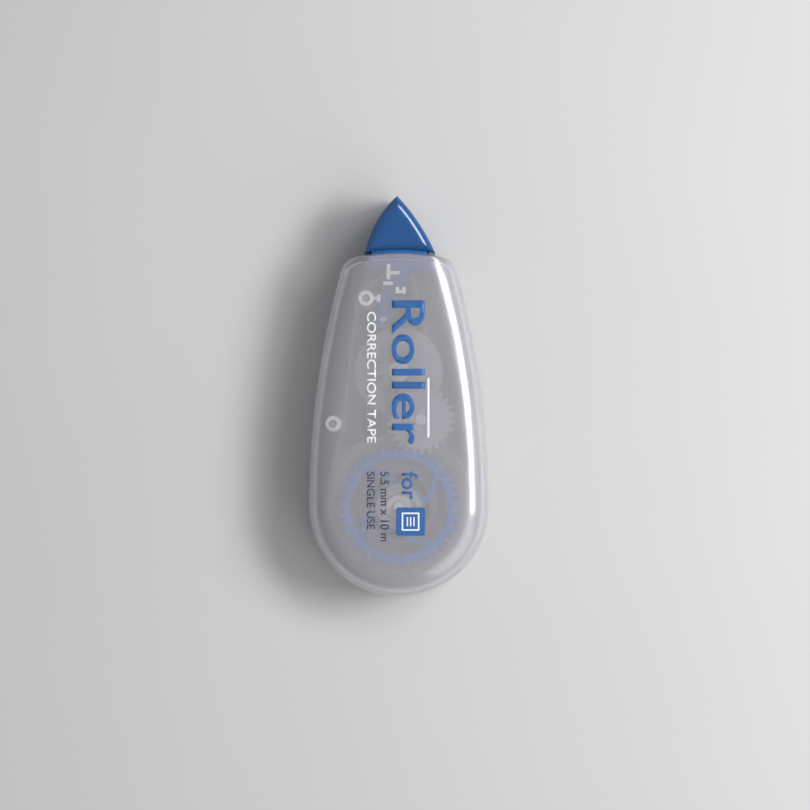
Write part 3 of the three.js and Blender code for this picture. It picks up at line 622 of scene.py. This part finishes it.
def tooth_sector(teeth, inner, low, high, chamfer=0.1):
    """One tooth with its share of the rim, open on the two sides that weld to its neighbours."""
    pitch = teeth * MODULE / 2
    base, root, tip = pitch * math.cos(PRESSURE), pitch - 1.25 * MODULE, pitch + MODULE
    half_tooth = (math.pi * MODULE / 2 - BACKLASH / 2) / (2 * pitch)

    def half_angle(r):
        opening = math.acos(min(1, base / r))
        return half_tooth + math.tan(PRESSURE) - PRESSURE - (math.tan(opening) - opening)

    start, flank_steps = max(root, base), 4
    fillet_rise, foot_out, top_out = 0.05, 0.12 / root, 0.03 / root
    flank = [start + (tip - start) * k / flank_steps for k in range(flank_steps + 1)]
    side = [(root, half_angle(start) + foot_out), (root + fillet_rise, half_angle(start) + top_out)]
    side += [(r, half_angle(r)) for r in flank if r > root + fillet_rise]
    edge = math.pi / teeth
    left = [(root, -edge), (root, -(edge + side[0][1]) / 2)] + [(r, -t) for r, t in side]
    profile = left + [(r, -t) for r, t in reversed(left)]
    outer = [cmath.rect(r, t) for r, t in profile]
    pulled = []
    for i, p in enumerate(outer):
        before = outer[i - 1] if i else cmath.rect(1, -2 * edge) * outer[-2]
        after = outer[i + 1] if i + 1 < len(outer) else cmath.rect(1, 2 * edge) * outer[1]
        way = (p - before) / abs(p - before) + (after - p) / abs(after - p)
        pulled.append(p + way / abs(way) * 1j * chamfer)
    inner_points = [cmath.rect(inner, t) for _, t in profile]
    inner_eased = [cmath.rect(inner + chamfer, t) for _, t in profile]
    rows = [
        (inner_eased, low), (pulled, low), (outer, low + chamfer), (outer, high - chamfer), (pulled, high),
        (inner_eased, high), (inner_points, high - chamfer), (inner_points, low + chamfer),
    ]
    verts = [(p.real, p.imag, z) for points, z in rows for p in points]
    count = len(outer)
    faces = []
    for k in range(len(rows)):
        for i in range(count - 1):
            a, b = k * count + i, (k + 1) % len(rows) * count + i
            faces.append((a, a + 1, b + 1, b))
    return new_piece("sector", verts, faces)


def meshed_phase(phase, neighbour_teeth, teeth, direction):
    """The angle of a gear's first tooth that puts a gap of it against a tooth of its neighbour."""
    return direction + math.pi + (direction - phase) * neighbour_teeth / teeth + math.pi / teeth


gear_blue = moulded(
    "gear_blue", (0.002, 0.17, 0.62), (0.004, 0.2, 0.68), grain=0.25, depth=0.05, roughness=0.32,
)

SKIRT_INNER, SKIRT_OUTER, HUB_STEP_Z = 4.4, 5.0, GEAR_Z + 0.6
hub_profile = [
    (SUPPLY_BORE, GEAR_Z), (SKIRT_INNER, GEAR_Z), (SKIRT_INNER, SKIRT_Z), (SKIRT_OUTER, SKIRT_Z),
    (SKIRT_OUTER, HUB_STEP_Z), (SUPPLY_HUB, HUB_STEP_Z), (SUPPLY_HUB, GEAR_TOP_Z), (SUPPLY_BORE, GEAR_TOP_Z),
]


def arm_body():
    """One curved arm, from inside the hub to inside the rim, with eased long edges."""
    def side(shift):
        points = []
        for k in range(ARM_STEPS + 1):
            share = k / ARM_STEPS
            r = SUPPLY_HUB - 0.3 + (RIM_INNER - SUPPLY_HUB + 0.8) * share
            points.append(cmath.rect(r, ARM_START + ARM_SWEEP * share**2 + shift / r))
        return points

    half = ARM_WIDTH / 2
    end = half - ARM_EASE
    steps = ((end, GEAR_Z), (half, GEAR_Z + ARM_EASE), (half, GEAR_TOP_Z - ARM_EASE), (end, GEAR_TOP_Z))
    return lofted("arm", [level(side(-reach) + side(reach)[::-1], z) for reach, z in steps])


drive_sector = tooth_sector(DRIVE_TEETH, RIM_INNER, GEAR_Z, GEAR_TOP_Z)
drive_gear = repeated("drive_gear_ring", drive_sector, DRIVE_TEETH, SUPPLY_AXIS, 0.0, gear_blue)
drive_arms = repeated("arms", arm_body(), ARM_COUNT, SUPPLY_AXIS, 0.0, gear_blue)
drive_hub = turned("hub", SUPPLY_AXIS, hub_profile, 96)
combined(drive_gear, [drive_arms, drive_hub], "UNION", gear_blue)
fitted(smoothed(drive_gear), gear_blue, "drive_gear", "gear_blue", "drive_gear")

RETAINER_Z, RETAINER_STEP_Z, RETAINER_FLANGE = 11.7, 12.15, 4.5
retainer_profile = [
    (SUPPLY_BORE, RETAINER_Z), (RETAINER_FLANGE, RETAINER_Z), (RETAINER_FLANGE, RETAINER_STEP_Z),
    (SUPPLY_HUB, RETAINER_STEP_Z), (SUPPLY_HUB, RETAINER_TOP_Z), (SUPPLY_BORE, RETAINER_TOP_Z),
]
gear_retainer = smoothed(turned("gear_retainer_disc", SUPPLY_AXIS, retainer_profile, 96))
fitted(gear_retainer, white_plastic, "drive_gear", "white_plastic", "gear_retainer")

IDLER_BORE, IDLER_HUB = 1.4, 2.3
idler_phase = meshed_phase(0.0, DRIVE_TEETH, IDLER_TEETH, bearing(SUPPLY_AXIS, IDLER_AXIS))
idler_sector = tooth_sector(IDLER_TEETH, IDLER_BORE, GEAR_Z, GEAR_TOP_Z)
idler_gear = repeated("idler_gear_white", idler_sector, IDLER_TEETH, IDLER_AXIS, idler_phase, white_plastic)
idler_hub = turned("hub", IDLER_AXIS, ring_profile(IDLER_BORE, IDLER_HUB, GEAR_Z - 0.2, GEAR_TOP_Z + 0.3), 64)
combined(idler_gear, [idler_hub], "UNION", white_plastic)
fitted(smoothed(idler_gear), white_plastic, "idler_gear", "white_plastic", "idler_gear")

TAKE_UP_BORE, TAKE_UP_DRUM, TAKE_UP_FLANGE = 2.3, 5.3, 8.9
take_up_phase = meshed_phase(idler_phase, IDLER_TEETH, TAKE_UP_TEETH, bearing(IDLER_AXIS, TAKE_UP_AXIS))
take_up_sector = tooth_sector(TAKE_UP_TEETH, TAKE_UP_BORE, GUARD_Z + GUARD_THICKNESS, GEAR_TOP_Z)
take_up_reel = repeated(
    "take_up_reel_pale", take_up_sector, TAKE_UP_TEETH, TAKE_UP_AXIS, take_up_phase, natural_plastic,
)
drum_profile = [
    (TAKE_UP_BORE, TAPE_Z), (TAKE_UP_DRUM, TAPE_Z), (TAKE_UP_DRUM, GUARD_Z), (TAKE_UP_FLANGE, GUARD_Z),
    (TAKE_UP_FLANGE, HUB_TOP_Z), (TAKE_UP_BORE, HUB_TOP_Z),
]
combined(take_up_reel, [turned("drum", TAKE_UP_AXIS, drum_profile, 96)], "UNION", natural_plastic)
fitted(smoothed(take_up_reel), natural_plastic, "take_up_reel", "natural_plastic", "take_up_reel")

flange_profile = ring_profile(TAKE_UP_BORE, TAKE_UP_FLANGE, FLANGE_Z, FLANGE_TOP_Z)
take_up_flange = smoothed(turned("take_up_flange_disc", TAKE_UP_AXIS, flange_profile, 96))
fitted(take_up_flange, natural_plastic, "take_up_reel", "natural_plastic", "take_up_flange")

used_film = wound_material("used_film", (0.62, 0.63, 0.62), (0.5, 0.51, 0.51), 0.3, TAKE_UP_Y, 0.3)
USED_INNER, USED_OUTER, USED_TURNS, USED_RIDGE = 5.6, 6.3, 6, 0.03
used_profile = wound_profile(USED_INNER, USED_OUTER, TAPE_Z, TAPE_TOP_Z, USED_TURNS, USED_RIDGE)
used_tape = smoothed(turned("used_tape_wound", TAKE_UP_AXIS, used_profile, 96, ease=0), 60)
fitted(used_tape, used_film, "take_up_reel", "used_film", "used_tape")


# ---------------------------------------------------------------- head and running tape
# A blue holder is trapped in the mouth by its flange and by a slanting stem pinned to the rear shell. The blue
# tip stands in it and grips a thin spring-steel plate, whose edge the tape is pulled over.

def cad_copy(name, node, ease):
    """A finer copy of a CAD piece, with its faces joined up and its corners eased as a mould leaves them."""
    piece = bpy.data.objects.new(name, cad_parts[node].data.copy())
    piece.data.materials.clear()
    bpy.context.scene.collection.objects.link(piece)
    bm = bmesh.new()
    bm.from_mesh(piece.data)
    bmesh.ops.remove_doubles(bm, verts=bm.verts, dist=1e-6)
    bmesh.ops.dissolve_limit(bm, angle_limit=math.radians(1), verts=bm.verts, edges=bm.edges)
    bm.to_mesh(piece.data)
    bm.free()
    if "custom_normal" in piece.data.attributes:
        piece.data.attributes.remove(piece.data.attributes["custom_normal"])
    step = piece.modifiers.new("ease", "BEVEL")
    step.width, step.segments = ease / 1000, 2
    step.limit_method, step.angle_limit = "ANGLE", math.radians(40)
    step.use_clamp_overlap = True
    mesh = applied(piece)
    piece.modifiers.clear()
    piece.data = mesh
    return smoothed(piece)


head_blue = moulded(
    "head_blue", (0.008, 0.11, 0.38), (0.01, 0.125, 0.42), grain=0.25, depth=0.05, roughness=0.3,
)
fitted(cad_copy("head_holder_blue", "head_holder", 0.14), head_blue, "casing", "head_blue", "head_holder")
fitted(cad_copy("head_tip_blue", "head_tip", 0.08), head_blue, "casing", "head_blue", "head_tip")


def brushed_steel():
    """Rolled spring steel: bright, with fine lines along the strip."""
    material = bpy.data.materials.new("steel")
    material.use_nodes = True
    tree = material.node_tree
    add, link = tree.nodes.new, tree.links.new
    surface = tree.nodes["Principled BSDF"]
    place, stretch, lines = add("ShaderNodeTexCoord"), add("ShaderNodeMapping"), add("ShaderNodeTexNoise")
    ramp, bump = add("ShaderNodeValToRGB"), add("ShaderNodeBump")
    stretch.inputs["Scale"].default_value = (400, 400, 9000)
    lines.inputs["Scale"].default_value = 1
    lines.inputs["Detail"].default_value = 4
    ramp.color_ramp.elements[0].color = (0.46, 0.47, 0.48, 1)
    ramp.color_ramp.elements[1].color = (0.66, 0.67, 0.68, 1)
    bump.inputs["Strength"].default_value = 0.15
    bump.inputs["Distance"].default_value = 0.00003
    link(place.outputs["Object"], stretch.inputs["Vector"])
    link(stretch.outputs[0], lines.inputs["Vector"])
    link(lines.outputs["Fac"], ramp.inputs["Fac"])
    link(ramp.outputs[0], surface.inputs["Base Color"])
    link(lines.outputs["Fac"], bump.inputs["Height"])
    link(bump.outputs[0], surface.inputs["Normal"])
    surface.inputs["Metallic"].default_value = 1
    surface.inputs["Roughness"].default_value = 0.24
    return material


fitted(cad_copy("metal_plate_steel", "metal_plate", 0.08), brushed_steel(), "casing", "steel", "metal_plate")

running_tape = moulded(
    "running_tape", (0.78, 0.78, 0.75), (0.84, 0.83, 0.8), grain=0.35, depth=0.12, roughness=0.5, drift_size=3.0,
)
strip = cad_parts["carrier_tape"]
strip.data.materials.clear()
strip.data.materials.append(running_tape)


# ---------------------------------------------------------------- front shell
# The front half of the casing is the same frosted polypropylene, with a face that is very slightly crowned. Its
# inside carries the sockets for the guide posts, two plugs and the short ribs round the mouth.

FRONT_ROUND = (6.0, 5.0, 1.0)
INSIDE_FRONT = (FRONT_ROUND[0] - WALL, FRONT_ROUND[1] - WALL, FRONT_ROUND[2] / 2)
FACE_Z, CROWN = THICKNESS - 0.03, 0.2


def crown_drop(x, y):
    """How far the crowned face lies under its middle."""
    half_width, half_length, middle_y = 18, 34, -5.5
    return CROWN * ((x / half_width) ** 2 + ((y - middle_y) / half_length) ** 2)


def crowned(rings):
    """Rings with their height eased down by the crown, in full at the face and not at all at the seam."""
    low = SEAM_Z + SEAM_GAP

    def eased_down(x, y, z):
        return x, y, z - crown_drop(x, y) * max(0, z - low) / (FACE_Z - low)

    return [[eased_down(*point) for point in ring] for ring in rings]


front_outer = rounded_rings(0, FRONT_ROUND, FACE_Z, 1, 16)
front_outer += face_rings(casing_outline(FRONT_ROUND[0], FRONT_ROUND[2]), FACE_Z)
front_inner = rounded_rings(WALL, INSIDE_FRONT, INNER_FRONT_Z, 1, 10)
front_inner += face_rings(casing_outline(WALL + INSIDE_FRONT[0], WALL + INSIDE_FRONT[2]), INNER_FRONT_Z)
step_in, rim_z = WALL - LIP_WALL - LIP_GAP, SEAM_Z + SEAM_GAP
front_rim = rim_rings(rim_z, 1) + [
    inset_ring(step_in - LIP_EASE, rim_z),
    inset_ring(step_in, rim_z + LIP_EASE),
    inset_ring(step_in, LIP_TOP_Z + LIP_GAP),
    inset_ring(WALL, LIP_TOP_Z + LIP_GAP),
]
front_rings = shell_rings(crowned(front_outer), crowned(front_rim), front_inner)
front_shell = lofted("front_shell_frosted", front_rings, pole=True)
front_shell.data.materials.append(frosted_shell)
combined(front_shell, [mouth_cut()], "DIFFERENCE", frosted_shell)


def moulded_on(piece, details, finish):
    """Adds details that are rooted inside a piece's wall, where the thicker plastic shows paler."""
    piece.data.materials.append(finish)
    bm = bmesh.new()
    bm.from_mesh(piece.data)
    for detail in details:
        before = len(bm.faces)
        bm.from_mesh(detail.data)
        bm.faces.ensure_lookup_table()
        for face in bm.faces[before:]:
            face.material_index = len(piece.data.materials) - 1
        bpy.data.objects.remove(detail)
    bm.to_mesh(piece.data)
    bm.free()


def rib(x0, x1, y0, y1, top, draft=0.08):
    """A short rib under the face, with a little draft so that it leaves the mould."""
    def loop(grow, z):
        left, right, low, high = x0 - grow, x1 + grow, y0 - grow, y1 + grow
        return [(left, low, z), (right, low, z), (right, high, z), (left, high, z)]

    return lofted("rib", [loop(-draft, NECK_TOP_Z + 0.3), loop(0, top)])


# Each rib as x0, x1, y0, y1, with y from the upper guide. No two have their tops at one height, so none of the
# faces that overlap lie in one plane.
RIB_ROOT_Z, RIB_STEP = INNER_FRONT_Z + 0.2, 0.025
rib_foot = UPPER_GUIDE.imag
rib_spans = [
    (-5.2, -3.7, -0.35, 0.35), (-4.3, -3.6, -0.7, 0.7), (-2.4, -1.7, 3.7, 6.8), (-2.35, 0.2, 4.7, 5.4),
    (-3.1, -1.2, 2.6, 3.3), (-0.55, 1.35, 0.95, 1.6), (-0.6, 0.1, 0.9, 2.2), (0.7, 1.4, 0.9, 2.2),
]
ribs = [
    rib(x0, x1, rib_foot + y0, rib_foot + y1, RIB_ROOT_Z + RIB_STEP * count)
    for count, (x0, x1, y0, y1) in enumerate(rib_spans)
]
SOCKET_Z, SOCKET_TOP_Z, SOCKET_BORE = GUARD_Z + 0.3, INNER_FRONT_Z + 0.4, 0.75
sockets = [peg("socket", guide, GUIDE_RADIUS, SOCKET_Z, SOCKET_TOP_Z) for guide in (UPPER_GUIDE, LOWER_GUIDE)]
plugs = [
    peg("plug", SUPPLY_AXIS, 1.05, GEAR_TOP_Z, SOCKET_TOP_Z),
    peg("plug", TAKE_UP_AXIS, 0.85, GEAR_TOP_Z - 0.3, SOCKET_TOP_Z),
]
for socket, guide in zip(sockets, (UPPER_GUIDE, LOWER_GUIDE)):
    socket.data.materials.append(thick_frost)
    combined(socket, [peg("bore", guide, SOCKET_BORE, 0, THICKNESS, 0.05)], "DIFFERENCE", thick_frost)
moulded_on(front_shell, sockets + plugs + ribs, thick_frost)
fitted(smoothed(front_shell), frosted_shell, "casing", "frosted_shell", "front_shell")


# ---------------------------------------------------------------- cap
# A glossy blue polypropylene cap over the head, one hollow moulding with rounded front and rear edges. It is
# held by friction on the neck and pulls straight off.

CAP_Z, CAP_TOP_Z, CAP_EDGE = 0.9, 13.7, 1.3
CAP_FRONT_EDGE, CAP_MIDDLE = (2.6, 1.5), complex(0.2, 32.5)


def cap_edge_rings(inset, width, depth, base_drop, steps):
    """Outlines with their depths below a face: the flat, then the rounded edge down to the straight side."""
    edge = []
    for i in range(steps + 1):
        angle = math.pi / 2 * i / steps
        outline = cap_outline(inset + width * (1 - math.sin(angle)), base_drop)
        edge.append((outline, depth * (1 - math.cos(angle))))
    middle = CAP_MIDDLE - complex(0, base_drop / 2)
    flat = [([middle + (p - middle) * share for p in edge[0][0]], 0) for share in (0.3, 0.6, 0.85, 0.96)]
    return flat + edge


def cap_form(inset, low, high, rear_edge, front_edge, base_drop, steps):
    """The cap's outer form or its cavity, rounded at its rear and front edges by a width and a depth."""
    rings = [level(outline, low + z) for outline, z in cap_edge_rings(inset, *rear_edge, base_drop, steps)]
    front_rings = cap_edge_rings(inset, *front_edge, base_drop, steps)[::-1]
    rings += [level(outline, high - z) for outline, z in front_rings]
    return lofted("cap_form", rings, pole=True)


cap = cap_form(0, CAP_Z, CAP_TOP_Z, (CAP_EDGE, CAP_EDGE), CAP_FRONT_EDGE, 0, 12)
cap.name = "cap_glossy"
cap_blue = moulded(
    "cap_blue", (0.006, 0.07, 0.225), (0.008, 0.076, 0.245), grain=0.6, depth=0.02, roughness=0.14, spread=0.05,
    Coat_Weight=0.7, Coat_Roughness=0.05,
)
cap.data.materials.append(cap_blue)
cavity_edge = (CAP_EDGE - CAP_WALL, CAP_EDGE - CAP_WALL)
cavity = cap_form(CAP_WALL, CAP_Z + CAP_WALL, CAP_TOP_Z - CAP_WALL, cavity_edge, cavity_edge, 4 * CAP_WALL, 4)
combined(cap, [cavity], "DIFFERENCE", cap_blue)
fitted(smoothed(cap), cap_blue, "cap", "cap_blue", "cap")


# ---------------------------------------------------------------- print on the casing
# Screen-printed ink on the front face, a few hundredths of a millimetre thick and following its crown: what it
# is and how much it holds, in plain words, and a ruled-page symbol on a blue square.

INK, WEIGHT_LARGE, WEIGHT_SMALL = 0.013, 0.012, 0.01


def printed(name, piece, material, slot):
    """Lays a flat mesh, drawn in millimetres at z 0 to twice the ink's thickness, on the crowned face."""
    for v in piece.data.vertices:
        x, y, z = v.co
        v.co = (x / 1000, y / 1000, (FACE_Z - crown_drop(x, y) + z) / 1000)
    piece.name = name
    return fitted(piece, material, "casing", slot)


def words(text, height, length, x, y, weight):
    """Lettering that reads down the casing, its feet at x and its first letter at y, of a given size."""
    curve = bpy.data.curves.new("words", "FONT")
    curve.body, curve.size, curve.extrude, curve.offset = text, 1.0, 0.0, weight
    curve.resolution_u = 6
    holder = bpy.data.objects.new("words", curve)
    bpy.context.scene.collection.objects.link(holder)
    bpy.context.view_layer.update()
    mesh = applied(holder)
    bpy.data.objects.remove(holder)
    us, vs = [v.co.x for v in mesh.vertices], [v.co.y for v in mesh.vertices]
    low_u, low_v = min(us), min(vs)
    grow_u, grow_v = length / (max(us) - low_u), height / (max(vs) - low_v)
    for v in mesh.vertices:
        v.co = (x + (v.co.y - low_v) * grow_v, y - (v.co.x - low_u) * grow_u, 0)
    return inked(mesh)


def inked(mesh):
    """A flat mesh given the ink's thickness, facing up, and cut every millimetre to follow the crown."""
    bm = bmesh.new()
    bm.from_mesh(mesh)
    bmesh.ops.remove_doubles(bm, verts=bm.verts, dist=1e-3)
    off_the_edges = 0.37
    for normal, reach in ((Vector((1, 0, 0)), 8), (Vector((0, 1, 0)), 29)):
        for step in range(-reach, reach):
            geom = bm.verts[:] + bm.edges[:] + bm.faces[:]
            bmesh.ops.bisect_plane(bm, geom=geom, plane_co=normal * (step + off_the_edges), plane_no=normal)
    for face in bm.faces:
        if face.normal.z < 0:
            face.normal_flip()
    top = bmesh.ops.extrude_face_region(bm, geom=bm.faces[:])
    for v in (g for g in top["geom"] if isinstance(g, bmesh.types.BMVert)):
        v.co.z = 2 * INK
    bmesh.ops.recalc_face_normals(bm, faces=bm.faces)
    bm.to_mesh(mesh)
    bm.free()
    piece = bpy.data.objects.new("ink", mesh)
    bpy.context.scene.collection.objects.link(piece)
    return piece


def bars(spans, corner=0.0):
    """Flat rectangles, each x0, x1, y0, y1, some with rounded corners, as one inked mesh."""
    mesh = bpy.data.meshes.new("bars")
    verts, faces = [], []
    for x0, x1, y0, y1 in spans:
        r = max(min(corner, (x1 - x0) / 2, (y1 - y0) / 2) - 0.001, 0.001)
        loop = []
        corners = ((x1 - r, y1 - r, 0), (x0 + r, y1 - r, 1), (x0 + r, y0 + r, 2), (x1 - r, y0 + r, 3))
        for cx, cy, start in corners:
            loop += arc(complex(cx, cy), r, start * math.pi / 2, (start + 1) * math.pi / 2, 5 if corner else 1)
        faces.append(tuple(range(len(verts), len(verts) + len(loop))))
        verts += [(p.real, p.imag, 0) for p in loop]
    mesh.from_pydata(verts, [], faces)
    return inked(mesh)


blue_ink = moulded(
    "blue_ink", (0.022, 0.11, 0.33), (0.026, 0.125, 0.36), grain=0.18, depth=0.06, roughness=0.5,
)
white_ink = moulded("white_ink", (0.82, 0.83, 0.85), (0.88, 0.88, 0.9), grain=0.18, depth=0.06, roughness=0.36)
dark_ink = moulded(
    "dark_ink", (0.03, 0.035, 0.07), (0.04, 0.045, 0.09), grain=0.18, depth=0.06, roughness=0.36,
)

printed("print_word_large", words("Roller", 6.6, 28.6, -1.4, 19.0, WEIGHT_LARGE), blue_ink, "cap_blue")
lower_words = words("CORRECTION TAPE", 1.8, 26.0, -6.3, 16.8, WEIGHT_LARGE)
printed("print_words_white", lower_words, white_ink, "white_plastic")
printed("print_rule_white", bars([(5.7, 6.1, -8.2, 3.7)], 0.2), white_ink, "white_plastic")
printed("print_for_blue", words("for", 3.2, 5.5, 0.6, -14.9, WEIGHT_LARGE), blue_ink, "cap_blue")
printed("print_square_blue", bars([(-0.5, 5.2, -27.6, -22.0)], 0.5), blue_ink, "cap_blue")
printed("print_size_dark", words("5.5 mm x 10 m", 1.7, 13.8, -3.6, -14.9, WEIGHT_SMALL), dark_ink, "rubber")
printed("print_use_dark", words("SINGLE USE", 1.6, 11.4, -6.3, -14.9, WEIGHT_SMALL), dark_ink, "rubber")

page = [
    (0.6, 0.9, -26.6, -23.0), (3.8, 4.1, -26.6, -23.0), (0.9, 3.8, -23.3, -23.0), (0.9, 3.8, -26.6, -26.3),
    (1.6, 1.85, -25.7, -23.9), (2.25, 2.5, -25.7, -23.9), (2.9, 3.15, -25.7, -23.9),
]
page_mark = bars(page)
over_the_square = 2 * INK * 0.2
for v in page_mark.data.vertices:
    v.co.z += over_the_square
printed("print_page_white", page_mark, white_ink, "white_plastic")


# ---------------------------------------------------------------- table, light and camera
# The roller lies on its back on a pale matt table, in soft room light, with three window-like panels to its
# right, end to end, and a dimmer one below. The camera looks straight down on the face.

def table_top():
    """A flat matt table, wide enough to fill the view from any side."""
    mesh = bpy.data.meshes.new("table_top")
    reach = 1.5
    corners = [(-reach, -reach, 0), (reach, -reach, 0), (reach, reach, 0), (-reach, reach, 0)]
    mesh.from_pydata(corners, [], [(0, 1, 2, 3)])
    top = bpy.data.objects.new("table_top", mesh)
    bpy.context.scene.collection.objects.link(top)
    top.data.materials.append(moulded(
        "table_paint", (0.56, 0.555, 0.55), (0.59, 0.585, 0.58), grain=0.5, depth=0.1, roughness=0.75,
        drift_size=60.0,
    ))
    return top


table_top()


def panel(name, place, aim, size, power):
    """A rectangular soft light at a place in metres, facing a point."""
    light = bpy.data.lights.new(name, "AREA")
    light.shape, light.size, light.size_y = "RECTANGLE", *size
    light.energy = power
    lamp = bpy.data.objects.new(name, light)
    lamp.location = place
    lamp.rotation_mode = "QUATERNION"
    lamp.rotation_quaternion = (Vector(place) - Vector(aim)).to_track_quat("Z", "Y")
    bpy.context.scene.collection.objects.link(lamp)


panel("window_right", (0.46, -0.012, 0.42), (0, 0, 0), (0.15, 0.15), 1.3)
panel("window_middle", (0.53, 0.125, 0.42), (0, 0.02, 0), (0.16, 0.18), 1.65)
panel("window_high", (0.36, 0.25, 0.44), (0, 0.03, 0), (0.24, 0.16), 1.1)
panel("window_low", (0.42, -0.4, 0.45), (0, 0, 0), (0.5, 0.5), 1.2)

world = bpy.data.worlds.new("room")
bpy.context.scene.world = world
world.use_nodes = True
room_light = world.node_tree.nodes["Background"]
room_light.inputs["Color"].default_value = (0.95, 0.97, 1.0, 1)
room_light.inputs["Strength"].default_value = 0.38
bpy.context.scene.view_settings.view_transform = "Standard"

camera_data = bpy.data.cameras.new("camera")
camera_data.lens, camera_data.sensor_width = 100, 36
camera = bpy.data.objects.new("camera", camera_data)
camera.location = (0.00125, -0.0017, 0.4605)
bpy.context.scene.collection.objects.link(camera)
bpy.context.scene.camera = camera
